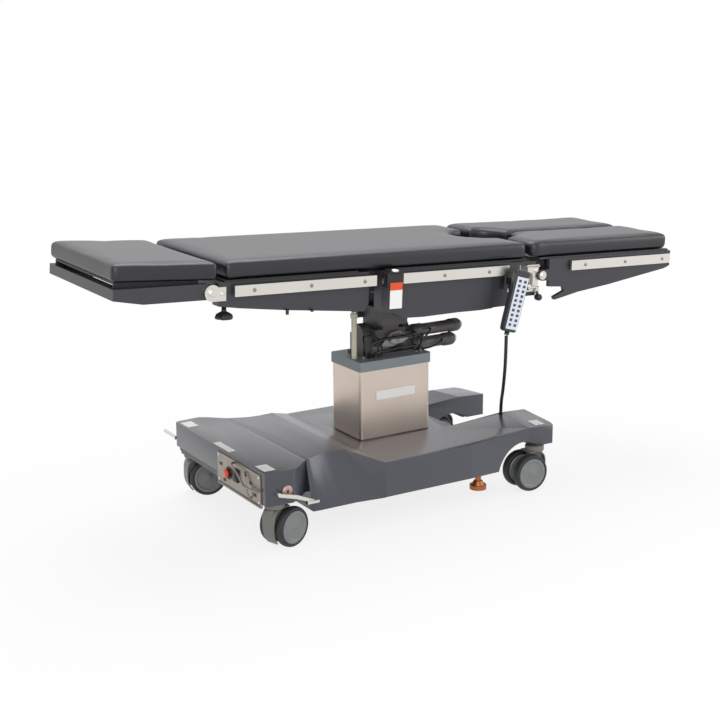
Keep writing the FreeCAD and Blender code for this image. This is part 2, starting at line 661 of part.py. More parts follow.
def rail_clamp():
    x0 = -164.0
    x1 = -106.0
    body = box((x0, x1), (-292.0, -257.0), (741.0, 785.0))
    top = box((x0 + 6, x1 - 6), (-291.0, -271.0), (784.0, 788.0))
    slot = box((x0 - 1, x1 + 1), (-S.rail_in - S.rail_thick - S.face_clear, -S.rail_in + S.face_clear),
               (S.rail_low - S.face_clear, S.rail_low + S.rail_height + S.face_clear))
    mouth = box((x0 - 1, x1 + 1), (-262.0, -256.0), (753.0, 773.0))
    bore = rod("z", -135, -281, 780, 5 + RUN, 30)
    node("rail_clamp", cut(fuse(body, top), slot, mouth, bore), TABLE_TURN)
    screw = rod("z", -135, -281, 780, 5, 12)
    knob = cone(-135, -281, 788.5, 13, 10, 9)
    node("clamp_knob", fuse(screw, knob), TABLE_TURN)
    node("tag_card", box((-157.0, -113.0), (-294.5, -292.3), (677.0, 757.0)), TABLE_TURN)


def cord_path(points):
    """Straight runs joined by tangent arcs through the given bend points."""
    edges = []
    start = points[0]
    for before, at, after in zip(points, points[1:], points[2:]):
        u = (before - at).normalize()
        w = (after - at).normalize()
        half_turn = (math.pi - u.getAngle(w)) / 2
        reach = 0.45 * min((before - at).Length, (after - at).Length)
        print("cord bend radius", round(reach / math.tan(half_turn), 1))
        middle = (u + w).normalize()
        radius = reach / math.tan(half_turn)
        centre = at + middle * (radius / math.cos(half_turn))
        first = at + u * reach
        last = at + w * reach
        edges.append(Part.makeLine(start, first))
        edges.append(Part.Arc(first, centre - middle * radius, last).toShape())
        start = last
    edges.append(Part.makeLine(start, points[-1]))
    return Part.Wire(edges)


def handset():
    hw = S.handset_width / 2
    case = box((-hw, hw), (-15.0, 12.0), (-S.handset_length, dim(0)))
    case = rounded(case, dim(6), lambda edge: along("z")(edge) or along("x")(edge))
    boss = rod("z", 0, 0, -S.handset_length - 12, 8, 14)
    place = FreeCAD.Placement(V(345.6, -300, 752.4), FreeCAD.Rotation(V(0, 1, 0), SIZES["handset_lean"]))
    node("handset_case", fuse(case, boss), place)
    keypad = box((-22.0, 22.0), (-16.5, -15.2), (-190.0, -22.0))
    node("handset_keypad", keypad, place)
    arm = box((318.0, 328.0), (-287.5, -243.0), (716.0, 736.0))
    root = box((300.0, 329.0), (-247.0, -243.0), (700.0, 740.0))
    plate = box((300.0, 340.0), (-287.7, -283.0), (700.0, 736.0))
    node("handset_hook", fuse(arm, root, plate), TABLE_TURN)
    bends = [V(286.9, -300, 546), V(287, -299, 470), V(312, -262, 400), V(350, -206, 330),
             V(385, -154, 285), V(400, -132, 240), V(400, -132, 206)]
    path = cord_path(bends)
    ring = Part.Wire(Part.makeCircle(SIZES["cord_radius"], bends[0], bends[1] - bends[0]))
    cord = doc.addObject("Part::Feature", "cord")
    cord.Shape = path.makePipeShell([ring], True, False)
    ideal = math.pi * SIZES["cord_radius"] ** 2 * path.Length
    print("cord volume share", round(cord.Shape.Volume / ideal, 4))
    node("handset_cord", cord)


cushions()
back_section()
head_section()
seat_section()
leg_section("near", False)
leg_section("far", True)
tilt_head()
column()
base()
base_fittings()
for number, degrees in enumerate((17.5, -9.2, 177.0, -177.0)):
    castor(number, degrees)
rail_clamp()
handset()

doc.recompute()
bad = []
for obj in doc.Objects:
    if "Invalid" in obj.State or "Error" in obj.State:
        bad.append(obj.Label)
for label, part in NODES.items():
    if part.Shape.isNull() or not part.Shape.isValid():
        bad.append(label)
if bad:
    raise ValueError("not sound: " + ", ".join(bad))
os.makedirs("parts", exist_ok=True)
for label, part in NODES.items():
    part.Shape.exportStep("parts/" + label + ".step")
total = Part.makeCompound([part.Shape for part in NODES.values()])
print(len(NODES), "nodes", total.BoundBox)
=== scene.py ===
# %% [markdown]
# # Operating table
# The mechanical model gives every rigid piece at its true place in metres. This lesson
# dresses it: it gives each metal, plastic and rubber its finish, replaces the foam blocks
# by upholstered cushions, and adds the small fittings that a mechanical model leaves out.

# %% Load the mechanical model
import json
import math

import bmesh
import bpy
import numpy as np
from mathutils import Matrix, Vector


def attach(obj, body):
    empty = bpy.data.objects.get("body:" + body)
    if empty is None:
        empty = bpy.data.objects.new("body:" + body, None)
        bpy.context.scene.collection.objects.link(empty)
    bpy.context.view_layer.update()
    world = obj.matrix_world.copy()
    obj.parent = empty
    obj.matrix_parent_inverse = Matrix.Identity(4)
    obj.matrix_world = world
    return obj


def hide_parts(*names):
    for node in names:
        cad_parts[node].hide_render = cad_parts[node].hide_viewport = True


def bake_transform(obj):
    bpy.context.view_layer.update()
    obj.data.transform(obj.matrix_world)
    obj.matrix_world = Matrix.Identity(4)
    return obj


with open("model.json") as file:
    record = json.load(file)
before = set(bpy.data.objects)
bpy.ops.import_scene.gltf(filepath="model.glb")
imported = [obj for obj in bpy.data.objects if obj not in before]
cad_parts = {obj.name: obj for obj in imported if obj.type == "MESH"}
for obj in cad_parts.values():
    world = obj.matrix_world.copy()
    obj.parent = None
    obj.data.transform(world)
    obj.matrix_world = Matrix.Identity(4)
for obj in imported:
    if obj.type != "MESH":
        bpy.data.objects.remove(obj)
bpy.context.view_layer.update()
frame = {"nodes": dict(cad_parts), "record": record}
print("nodes", len(frame["nodes"]))

# %% [markdown]
# ## The table's own slopes
# The top stands 2.2 degrees head-up, and the head section a further 2.4 degrees. Pieces of
# the top are easiest to draw level, so one function turns level millimetres into the
# tilted frame in metres.

# %% Level millimetres to tilted metres
def turn_about(x, z, degrees):
    """Matrix that turns about the Y axis through (x, z), in millimetres."""
    there = Matrix.Translation((x, 0, z))
    return there @ Matrix.Rotation(math.radians(degrees), 4, "Y") @ there.inverted()


TABLE = turn_about(0, 600, 2.2)
HEAD = TABLE @ turn_about(-732, 761, 2.4)
LEVEL = Matrix.Identity(4)


def place(points, how=LEVEL):
    """Rows of millimetres turned by how, as rows of metres."""
    m = np.array(how)
    return (np.asarray(points, float) @ m[:3, :3].T + m[:3, 3]) / 1000


# %% [markdown]
# ## Surfaces from numbers
# Most added pieces are surfaces over two parameters. A grid of points becomes quads, and
# it can close round one way for a turned piece or a tube.

# %% Mesh makers
def mesh_piece(name, points, faces, how=LEVEL, smooth=True):
    """A new object from rows of millimetres and lists of corner numbers."""
    mesh = bpy.data.meshes.new(name)
    mesh.from_pydata(place(points, how).tolist(), [], [list(map(int, f)) for f in faces])
    mesh.update()
    work = bmesh.new()
    work.from_mesh(mesh)
    bmesh.ops.remove_doubles(work, verts=work.verts, dist=1e-6)
    bmesh.ops.recalc_face_normals(work, faces=work.faces)
    work.to_mesh(mesh)
    work.free()
    mesh.polygons.foreach_set("use_smooth", np.full(len(mesh.polygons), smooth))
    piece = bpy.data.objects.new(name, mesh)
    bpy.context.scene.collection.objects.link(piece)
    return piece


def grid_faces(rows, columns, wrap_rows=False, wrap_columns=True):
    """Quads between neighbouring points of a rows by columns grid."""
    i, j = np.meshgrid(np.arange(rows if wrap_rows else rows - 1),
                       np.arange(columns if wrap_columns else columns - 1), indexing="ij")
    i, j = i.ravel(), j.ravel()
    i2, j2 = (i + 1) % rows, (j + 1) % columns
    return np.stack([i * columns + j, i * columns + j2, i2 * columns + j2, i2 * columns + j], 1)


# Each row says where a turned shape's own x, y and height go.
AXES = {"x": np.array([[0, 1, 0], [0, 0, 1], [1, 0, 0]]),
        "y": np.array([[1, 0, 0], [0, 0, 1], [0, 1, 0]]),
        "z": np.eye(3)}


def turned(profile, axis="z", at=(0, 0, 0), steps=48, ripple=None):
    """Points radius * (cos a, sin a) with height along the axis, for each row of the profile."""
    r, h = np.asarray(profile, float).T
    a = np.linspace(0, 2 * np.pi, steps, endpoint=False)
    radius = r[:, None] * (np.ones(steps) if ripple is None else ripple(a))
    grid = np.stack([radius * np.cos(a), radius * np.sin(a), np.repeat(h[:, None], steps, 1)], -1)
    points = grid.reshape(-1, 3) @ AXES[axis] + np.array(at, float)
    return points, grid_faces(len(r), steps)


def join(*parts):
    """Several (points, faces) pairs as one."""
    points, faces, count = [], [], 0
    for p, f in parts:
        points.append(p)
        faces.extend([[int(v) + count for v in face] for face in f])
        count += len(p)
    return np.vstack(points), faces


def block(x, y, z, bevel=1.0):
    """A box with chamfered edges: the hull of three boxes, each inset on two axes."""
    lo = np.array([x[0], y[0], z[0]], float)
    hi = np.array([x[1], y[1], z[1]], float)
    b = min(bevel, 0.45 * (hi - lo).min())
    work = bmesh.new()
    for free in range(3):
        inset = np.full(3, b)
        inset[free] = 0
        a, c = lo + inset, hi - inset
        for k in range(8):
            work.verts.new([(a, c)[(k >> n) & 1][n] for n in range(3)])
    bmesh.ops.convex_hull(work, input=work.verts)
    work.verts.ensure_lookup_table()
    work.verts.index_update()
    points = np.array([v.co[:] for v in work.verts])
    faces = [[v.index for v in f.verts] for f in work.faces]
    work.free()
    return points, faces


def tube(path, radius, sides=12):
    """A closed tube: circles across a path, with frames carried along it without twist."""
    p = np.asarray(path, float)
    t = np.gradient(p, axis=0)
    t /= np.linalg.norm(t, axis=1)[:, None]
    normal = np.cross(t[0], [0.3, 0.2, 0.93])
    rows = []
    for point, way in zip(p, t):
        normal = normal - way * (normal @ way)
        normal /= np.linalg.norm(normal)
        side = np.cross(way, normal)
        a = np.linspace(0, 2 * np.pi, sides, endpoint=False)[:, None]
        rows.append(point + radius * (np.cos(a) * normal + np.sin(a) * side))
    rows.insert(0, np.repeat(p[:1], sides, 0))
    rows.append(np.repeat(p[-1:], sides, 0))
    return np.vstack(rows), grid_faces(len(rows), sides)


def smooth_path(points, count=60):
    """A curve through the points: a cubic Hermite spline with Catmull-Rom tangents."""
    p = np.asarray(points, float)
    m = np.gradient(p, axis=0)
    u = np.linspace(0, len(p) - 1, count)
    i = np.minimum(u.astype(int), len(p) - 2)
    s = (u - i)[:, None]
    return ((2 * s**3 - 3 * s**2 + 1) * p[i] + (s**3 - 2 * s**2 + s) * m[i]
            + (3 * s**2 - 2 * s**3) * p[i + 1] + (s**3 - s**2) * m[i + 1])


# %% [markdown]
# ## Finishes
# Each finish is named for the real material. Colours are written as sRGB hex and turned
# to linear. Patterns read Object coordinates in metres, so a scale is one over a real size.

# %% Node helper and colour
BUMP_DEPTH = 0.0008
COAT_ROUGHNESS = 0.25


def linear(hex_colour):
    """sRGB hex to linear RGBA."""
    v = [int(hex_colour[i:i + 2], 16) / 255 for i in (1, 3, 5)]
    return [c / 12.92 if c <= 0.04045 else ((c + 0.055) / 1.055) ** 2.4 for c in v] + [1.0]


def add(tree, kind, settings=None, **links):
    """Adds a node; a link's value is a number, a colour or another node's output."""
    n = tree.nodes.new(kind)
    for key, value in (settings or {}).items():
        setattr(n, key, value)
    for key, value in links.items():
        numbered = key[0] == "i" and key[1:].isdigit()
        socket = n.inputs[int(key[1:]) if numbered else key.replace("_", " ")]
        if isinstance(value, bpy.types.NodeSocket):
            tree.links.new(value, socket)
        else:
            socket.default_value = value
    return n


def finish_of(name, colour, roughness, metallic=0.0, grain=(400, 400, 400), grain_depth=0.1,
              rough_range=0.08, shade=0.08, coat=0.0, blotch=6.0):
    """A material with a fine grain for bump and roughness and broad blotches for colour."""
    m = bpy.data.materials.new(name)
    m.use_nodes = True
    t = m.node_tree
    shader = t.nodes["Principled BSDF"]
    where = add(t, "ShaderNodeTexCoord").outputs["Object"]
    fine = add(t, "ShaderNodeMapping", Vector=where, Scale=grain).outputs[0]
    noise = add(t, "ShaderNodeTexNoise", Vector=fine, Scale=1.0, Detail=3.0,
                Roughness=0.6).outputs[0]
    broad = add(t, "ShaderNodeTexNoise", Vector=where, Scale=blotch, Detail=4.0).outputs[0]
    base = linear(colour)
    light = [min(1, c * (1 + shade)) for c in base[:3]] + [1]
    dark = [c * (1 - shade) for c in base[:3]] + [1]
    mix = add(t, "ShaderNodeMix", {"data_type": "RGBA"}, i0=broad, i6=dark, i7=light)
    t.links.new(mix.outputs[2], shader.inputs["Base Color"])
    rough = add(t, "ShaderNodeMapRange", i0=noise, i3=roughness - rough_range,
                i4=roughness + rough_range)
    t.links.new(rough.outputs[0], shader.inputs["Roughness"])
    if grain_depth:
        bump = add(t, "ShaderNodeBump", Height=noise, Strength=grain_depth, Distance=BUMP_DEPTH)
        t.links.new(bump.outputs[0], shader.inputs["Normal"])
    shader.inputs["Metallic"].default_value = metallic
    shader.inputs["Coat Weight"].default_value = coat
    shader.inputs["Coat Roughness"].default_value = COAT_ROUGHNESS
    return m


# %% [markdown]
# The cushions are polyurethane-coated fabric over foam: near black with a violet cast, a
# soft sheen, and a leather grain about 1.5 mm across. The frames are powder-coated steel.
# Stainless rails are brushed along their length, the column sheets upwards.

# %% The finishes
# Grains or brush lines to a metre along x, y and z: 650 is a grain of 1.5 mm.
LEATHER_GRAIN = (650, 650, 650)
POWDER_GRAIN = (900, 900, 900)
MOULD_GRAIN = (700, 700, 700)
CAST_GRAIN = (260, 260, 260)
LINK_GRAIN = (300, 300, 300)
RAIL_BRUSHING = (25, 1500, 1500)
SHEET_BRUSHING = (900, 900, 30)
PANEL_BRUSHING = (900, 900, 40)

FINISH = {
    "pad_vinyl": finish_of("polyurethane coated fabric", "#15131D", 0.40, grain=LEATHER_GRAIN,
                           grain_depth=0.22, shade=0.12, blotch=4, coat=0.2),
    "board_black": finish_of("compact laminate", "#17171A", 0.5),
    "frame_grey": finish_of("powder coated steel", "#36353B", 0.40, grain=POWDER_GRAIN,
                            grain_depth=0.12, shade=0.06),
    "rail_steel": finish_of("brushed stainless bar", "#D9D5CF", 0.28, 1.0, grain=RAIL_BRUSHING,
                            grain_depth=0.06, shade=0.05),
    "column_steel": finish_of("brushed stainless sheet", "#CDBFB3", 0.33, 1.0, grain=SHEET_BRUSHING,
                              grain_depth=0.05, shade=0.10, blotch=9),
    "cap_grey": finish_of("satin painted plate", "#7A8287", 0.45, shade=0.05),
    "cover_grey": finish_of("moulded ABS", "#3A3C46", 0.34, grain=MOULD_GRAIN,
                            grain_depth=0.05, shade=0.06, coat=0.45, blotch=3),
    "cast_grey": finish_of("painted cast iron", "#4B484A", 0.5, grain=CAST_GRAIN,
                           grain_depth=0.5, shade=0.2, blotch=30),
    "dark_metal": finish_of("satin enamelled tube", "#4C4847", 0.38, shade=0.18, blotch=25),
    "screw_steel": finish_of("zinc plated screw", "#8E8A85", 0.4, 0.8, shade=0.12, blotch=60),
    "panel_steel": finish_of("scuffed stainless panel", "#9C948A", 0.38, 0.9, grain=PANEL_BRUSHING,
                             grain_depth=0.08, shade=0.3, blotch=22),
    "link_grey": finish_of("machined cast link", "#8D898B", 0.42, 0.5, grain=LINK_GRAIN,
                           grain_depth=0.3, shade=0.15, blotch=30),
    "case_dark": finish_of("moulded handset shell", "#2F2E35", 0.42, shade=0.08, blotch=30),
    "rose_disc": finish_of("zinc passivated disc", "#B59A90", 0.4, 0.6, shade=0.12, blotch=60),
    "chrome_rod": finish_of("hard chromed rod", "#D4D4D4", 0.12, 1.0, grain_depth=0.0,
                            rough_range=0.03),
    "tyre_grey": finish_of("castor rubber", "#26272A", 0.6, shade=0.12, blotch=30),
    "disc_grey": finish_of("moulded nylon disc", "#7E8181", 0.45, shade=0.06, blotch=20),
    "housing_grey": finish_of("moulded nylon housing", "#75736F", 0.42, shade=0.08, blotch=15),
    "handset_pale": finish_of("membrane film", "#DDE3EE", 0.35, shade=0.02),
    "key_blue": finish_of("printed key film", "#3F4457", 0.4, shade=0.04),
    "black_plastic": finish_of("moulded polyamide", "#1B1B1E", 0.45, shade=0.1, blotch=40),
    "cord_black": finish_of("polyurethane jacket", "#161618", 0.45, shade=0.1, blotch=40),
    "card_white": finish_of("laminated card", "#F0F0EE", 0.4, shade=0.02),
    "card_orange": finish_of("orange laminated card", "#E0501E", 0.4, shade=0.04),
    "red_plastic": finish_of("red moulded button", "#D8401F", 0.3, shade=0.05, coat=0.3),
    "foot_copper": finish_of("copper coloured plating", "#A5673F", 0.38, 0.8, shade=0.15,
                             blotch=40),
    "plate_white": finish_of("blank enamelled plate", "#E9E8E4", 0.35, shade=0.02),
    "post_cream": finish_of("cream enamelled rod", "#C9C2AE", 0.35, shade=0.06),
}


def dress(piece, finish, body=None, replaced=()):
    """Gives a piece its finish and body, and hides the nodes it stands for."""
    piece.data.materials.clear()
    piece.data.materials.append(FINISH[finish])
    if body:
        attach(piece, body)
    if replaced:
        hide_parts(*replaced)
    return piece


node_slot = {s["node"]: s["material_slot"] for s in frame["record"]["subparts"]}
node_slot.update(hydraulic_post="post_cream", end_panel="panel_steel",
                 handset_hook="black_plastic")
for name, node in frame["nodes"].items():
    node.data.materials.clear()
    node.data.materials.append(FINISH[node_slot[name]])
print("finishes", len(FINISH))

# %% [markdown]
# ## Cushions
# Each cushion is a foam slab in a tight cover: its plan outline is drawn out, rounded along
# the edges, remeshed into even small faces, and blown up a little by a cloth simulation so
# that the faces crown between the edges.

# %% Cushion maker
def rounded_outline(corners, radii, per_corner=8):
    """Corner points replaced by arcs: each arc is tangent to both sides at its radius."""
    p = np.asarray(corners, float)
    out = []
    for k, r in enumerate(radii):
        a, b, c = p[k - 1], p[k], p[(k + 1) % len(p)]
        u, w = (a - b) / np.linalg.norm(a - b), (c - b) / np.linalg.norm(c - b)
        half = math.acos(np.clip(u @ w, -1, 1)) / 2
        if r <= 0:
            out.append(b[None])
            continue
        centre = b + (u + w) / np.linalg.norm(u + w) * r / math.sin(half)
        reach = r / math.tan(half)
        first, last = b + u * reach - centre, b + w * reach - centre
        s = np.linspace(0, 1, per_corner)[:, None]
        turn = math.acos(np.clip(first @ last / r**2, -1, 1))
        swept = np.sin((1 - s) * turn) * first + np.sin(s * turn) * last
        out.append(centre + swept / math.sin(turn))
    return np.vstack(out)


def apply_all(piece):
    """Replaces the mesh by what its modifiers make."""
    finished = piece.evaluated_get(bpy.context.evaluated_depsgraph_get())
    made = bpy.data.meshes.new_from_object(finished)
    piece.modifiers.clear()
    piece.data = made


PAD_LOW, PAD_HIGH = 795.5, 844.0
PAD_ROUNDING = 0.011
PAD_VOXEL = 0.007
PUFF_LIMIT = 0.005
PUFF_PRESSURE = 4.0
PUFF_FRAMES = 20
SAG_BELOW_BOARD = 0.0012


def corners_of(piece):
    """The mesh's points as rows of three numbers."""
    co = np.empty(len(piece.data.vertices) * 3, np.float32)
    piece.data.vertices.foreach_get("co", co)
    return co.reshape(-1, 3)


def inflate(piece):
    """Cloth with pressure and no gravity; no point moves further than the puff limit."""
    before = corners_of(piece)
    cloth = piece.modifiers.new("cover", "CLOTH")
    cloth.settings.use_pressure = True
    cloth.settings.uniform_pressure_force = PUFF_PRESSURE
    cloth.settings.effector_weights.gravity = 0
    cloth.settings.quality = 5
    scene = bpy.context.scene
    for number in range(1, PUFF_FRAMES + 1):
        scene.frame_set(number)
    apply_all(piece)
    scene.frame_set(1)
    move = corners_of(piece) - before
    size = np.linalg.norm(move, axis=1)[:, None]
    limited = before + move * np.minimum(1, PUFF_LIMIT / np.maximum(size, 1e-9))
    piece.data.vertices.foreach_set("co", limited.ravel())
    piece.data.update()


def cushion(name, outline, how, body, replaced):
    """The outline drawn up to the pad's height, edges rounded, remeshed and blown up."""
    n = len(outline)
    low = np.column_stack([outline, np.full(n, PAD_LOW)])
    high = np.column_stack([outline, np.full(n, PAD_HIGH)])
    faces = [list(range(n))[::-1], list(range(n, 2 * n))]
    faces += [[i, (i + 1) % n, n + (i + 1) % n, n + i] for i in range(n)]
    piece = mesh_piece(name, np.vstack([low, high]), faces)
    bevel = piece.modifiers.new("edge", "BEVEL")
    bevel.width = PAD_ROUNDING
    bevel.segments = 5
    bevel.limit_method = "ANGLE"
    bevel.angle_limit = math.radians(50)
    remesh = piece.modifiers.new("even", "REMESH")
    remesh.mode = "VOXEL"
    remesh.voxel_size = PAD_VOXEL
    relax = piece.modifiers.new("relax", "SMOOTH")
    relax.iterations = 4
    apply_all(piece)
    inflate(piece)
    co = corners_of(piece)
    co[:, 2] = np.maximum(co[:, 2], PAD_LOW / 1000 - SAG_BELOW_BOARD)
    co = place(co * 1000, how).astype(np.float32)
    piece.data.vertices.foreach_set("co", co.ravel())
    piece.data.polygons.foreach_set("use_smooth", np.ones(len(piece.data.polygons), bool))
    piece.data.update()
    soft = piece.modifiers.new("fine", "SUBSURF")
    soft.levels = soft.render_levels = 1
    apply_all(piece)
    piece.data.materials.append(FINISH["pad_vinyl"])
    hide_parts(*replaced)
    if body:
        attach(piece, body)
    print(name, "vertices", len(piece.data.vertices))
    return piece


# %% [markdown]
# The main cushion is one piece over back and seat. Its foot end has a round opening,
# whose edge goes on in the scooped inner corners of the leg cushions.

# %% Head cushion
EDGE = 2.5
HALF_WIDTH = 257.5
head_left, head_right = -1033 + EDGE, -705 - EDGE
head_outline = rounded_outline([(head_left, -HALF_WIDTH), (head_right, -HALF_WIDTH),
                                (head_right, HALF_WIDTH), (head_left, HALF_WIDTH)],
                               [14, 10, 10, 14])
cushion("head_cushion", head_outline, HEAD, "head", ["head_pad"])

# %% Main cushion with its round opening
OPENING = 104.0
OPENING_CENTRE = 394
main_left, main_right = -690 + EDGE, 396 - EDGE
arc = np.linspace(-np.pi / 2, np.pi / 2, 26)
notch = np.column_stack([OPENING_CENTRE - OPENING * np.cos(arc), OPENING * np.sin(arc)])
main_outline = np.vstack([
    rounded_outline([(main_right, HALF_WIDTH), (main_left, HALF_WIDTH), (main_left, -HALF_WIDTH),
                     (main_right, -HALF_WIDTH), (main_right, -OPENING)],
                    [12, 10, 10, 12, 0]),
    notch[1:]])
mattress = cushion("main_cushion", main_outline, TABLE, None, ["back_pad", "pad_fold", "seat_pad"])
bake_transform(mattress)

# %% Leg cushions, each with its inner corner scooped
LEG_SCOOP_CENTRE = 403
LEG_INNER, LEG_OUTER, LEG_HEAD_END = 5.5, 254.5, 410
FOOT_END = 1019.0
leg_right = FOOT_END - EDGE
first_turn = np.pi / 2 - np.arcsin(7 / OPENING) - 0.05
last_turn = np.pi / 2 - np.arccos(LEG_INNER / OPENING) + 0.06
for side, sign in (("near", -1), ("far", 1)):
    bite = np.linspace(first_turn, last_turn, 12)
    scoop = np.column_stack([LEG_SCOOP_CENTRE + OPENING * np.cos(bite),
                             sign * OPENING * np.sin(bite)])
    outer = rounded_outline([(scoop[-1, 0] + 6, sign * LEG_INNER), (leg_right, sign * LEG_INNER),
                             (leg_right, sign * LEG_OUTER), (LEG_HEAD_END, sign * LEG_OUTER),
                             tuple(scoop[0])],
                            [0, 16, 16, 28, 0])[:-1]
    leg_outline = np.vstack([scoop, outer])
    cushion(side + "_leg_cushion", leg_outline, TABLE, side + "_leg", [side + "_leg_pad"])

# %% [markdown]
# ## Base cover
# The cover is moulded ABS, so its edges are round and its scooped waist has no hard creases.
# A copy of the mechanical shell is merged, its flat triangles are joined into whole faces,
# and a narrow bevel rounds the edges. Faces that meet at a shallow angle shade as one.

# %% Soft edges on the base cover
EDGE_ROUND = 0.004
SAME_POINT = 2e-5
FLAT_WITHIN = math.radians(1.5)
BEVEL_ABOVE = math.radians(32)
SHARP_ABOVE = math.radians(34)
shell = frame["nodes"]["base_cover"].data.copy()
work = bmesh.new()
work.from_mesh(shell)
bmesh.ops.remove_doubles(work, verts=work.verts, dist=SAME_POINT)
bmesh.ops.dissolve_limit(work, angle_limit=FLAT_WITHIN, verts=work.verts, edges=work.edges)
work.to_mesh(shell)
work.free()
cover = bpy.data.objects.new("cover_shell", shell)
bpy.context.scene.collection.objects.link(cover)
soften = cover.modifiers.new("round edges", "BEVEL")
soften.width = EDGE_ROUND
soften.segments = 3
soften.limit_method = "ANGLE"
soften.angle_limit = BEVEL_ABOVE
apply_all(cover)
cover.data.polygons.foreach_set("use_smooth", np.ones(len(cover.data.polygons), bool))
cover.data.set_sharp_from_angle(angle=SHARP_ABOVE)
dress(cover, "cover_grey", "base", ["base_cover"])
print("cover faces", len(cover.data.polygons))

# %% [markdown]
# ## Castors
# Twin-wheel castors: two grey discs with a stepped face and a black tread, and a grey
# moulded housing between and over them. A disc is a turned profile, and the housing is a
# shell that follows the wheels from one side over the top to the other.

# %% Castor shapes
# Swivel axis in x and y, and heading in degrees
CASTORS = [(-556, -285, 17.5), (-556, 285, -9.2), (440, -268, 177.0), (440, 268, -177.0)]
TRAIL, AXLE_HEIGHT = 38, 62.5
AXLE = (TRAIL, 0, AXLE_HEIGHT)


def castor_place(index):
    """Matrix of a castor: its swivel axis on the floor, and its heading."""
    x, y, degrees = CASTORS[index]
    return Matrix.Translation((x, y, 0)) @ Matrix.Rotation(math.radians(degrees), 4, "Z")


def disc_profile(sign):
    """Radius and height of a castor disc, from the hub cap out to the rim."""
    face = [(0.01, 45.5), (9, 45.5), (10.5, 44.5), (12, 43), (16, 42.4), (36, 41.0), (38.5, 41.5),
            (41, 44.5), (44, 46.2), (49.5, 46.2), (51, 45), (51, 20), (0.01, 20)]
    return [(r, h * sign) for r, h in face]


def tread_profile(sign):
    """The black tyre: a rounded band from radius 50.5 to 62.5."""
    a = np.linspace(np.radians(-80), np.radians(80), 13)
    ring = [(56 + 6.5 * math.cos(t), 32 + 14 * math.sin(t)) for t in a]
    ring = [(50.5, 17.5)] + ring + [(50.5, 46.4), (50.5, 17.5)]
    return [(r, h * sign) for r, h in ring]


def castor_hood(inner=64.2, outer=68.6, along=27, round_rim=24):
    """A curved shell ahead of the wheels, squarer above the axle than below it: its radius is
    that of a rounded square down to the axle and of a circle from there, with rounded rims."""
    turn = np.radians(np.linspace(92, 222, along))
    square = (np.cos(turn) ** 4 + np.sin(turn) ** 4) ** -0.25
    reach = np.where(turn < np.pi, square, 1.0)[:, None]
    half = np.linspace(29, 21, along)
    a = np.linspace(0, 2 * np.pi, round_rim, endpoint=False)
    c, d = np.cos(a), np.sin(a)
    k = (np.abs(c) ** 8 + np.abs(d) ** 8) ** (-1 / 8)
    across = half[:, None] * (c * k)
    thick = reach * ((inner + outer) / 2 + (outer - inner) / 2 * (d * k))
    ends = np.array([0] + list(range(along)) + [along - 1])
    across, thick, turn = across[ends], thick[ends], turn[ends]
    across[[0, -1]] = 0
    thick[[0, -1]] = (inner + outer) / 2
    grid = np.stack([TRAIL + thick * np.cos(turn)[:, None], across,
                     AXLE_HEIGHT + thick * np.sin(turn)[:, None]], -1)
    return grid.reshape(-1, 3), grid_faces(along + 2, round_rim)


# %% Castor discs, treads and housings
discs = join(*[turned(disc_profile(s), "y", AXLE, 64) for s in (1, -1)])
treads = join(*[turned(tread_profile(s), "y", AXLE, 64) for s in (1, -1)])
collar = turned([(0.01, 126), (27, 126), (31, 129), (32, 133), (32, 144), (30, 146), (0.01, 146)])
neck = block((-26, 26), (-15, 15), (70, 128), 6)
hub = turned([(0.01, -15.5), (44, -15.5), (45.5, -14), (45.5, 14), (44, 15.5), (0.01, 15.5)],
             "y", AXLE)
housing = join(collar, neck, hub, castor_hood())
for i in range(4):
    how = castor_place(i)
    name, wheel = f"castor_{i + 1}", f"wheel_{i + 1}"
    dress(mesh_piece(name + "_discs", *discs, how), "disc_grey", wheel,
          [f"castor_wheel_{i + 1}"])
    dress(mesh_piece(name + "_treads", *treads, how), "tyre_grey", wheel)
    dress(mesh_piece(name + "_housing", *housing, how, smooth=False), "housing_grey", name,
          [f"castor_fork_{i + 1}"])

# %% [markdown]
# ## Rail screws
# Countersunk screws hold the rails, and show as small darker discs on the bright bars. Each
# is a low turned disc, and one piece holds all the screws of a section.

# %% Rail screws
RAIL_FACE, RAIL_MIDDLE = 270.0, 763
SIDES = (("near", -1), ("far", 1))


def rail_screws(places, signs):
    """Low turned discs on the rail faces, at each place along each side."""
    p, f = turned([(0.01, 0.9), (5.4, 0.9), (6.2, 0.3), (6.2, -1)], "y", (0, 0, 0), 24)
    return join(*[(p * [1, s, 1] + [x, RAIL_FACE * s, RAIL_MIDDLE], f)
                  for s in signs for x in places])


for body, places in (("back", (-603, -416, -232)), ("seat", (60, 232))):
    dress(mesh_piece(body + "_rail_screws", *rail_screws(places, (-1, 1)), TABLE),
          "screw_steel", body)
for side, sign in SIDES:
    dress(mesh_piece(side + "_leg_rail_screws", *rail_screws((630, 806, 976), (sign,)), TABLE),
          "screw_steel", side + "_leg")

# %% [markdown]
# ## Head joint and leg joint
# Bright steel blocks carry both joints. The head joint has hexagon bolts on washers. The leg
# joint has a slotted plate with two bolts, a pin head, and a black lever with a round knob.

# %% Head joint bolts
def bolt(x, y, z, sign, across=14, thick=6):
    """A washer, a hexagon head and a domed end on an axis along Y."""
    washer = turned([(0.01, 0), (across * 0.72, 0), (across * 0.72, 1.6), (0.01, 1.6)],
                    "y", (0, 0, 0), 32)
    head = turned([(0.01, 1.6), (across / 2, 1.6), (across / 2, thick),
                   (across / 2 - 1, thick + 0.8), (0.01, thick + 0.8)], "y", (0, 0, 0), 6)
    p, f = join(washer, head)
    return p * [1, sign, 1] + [x, y, z], f


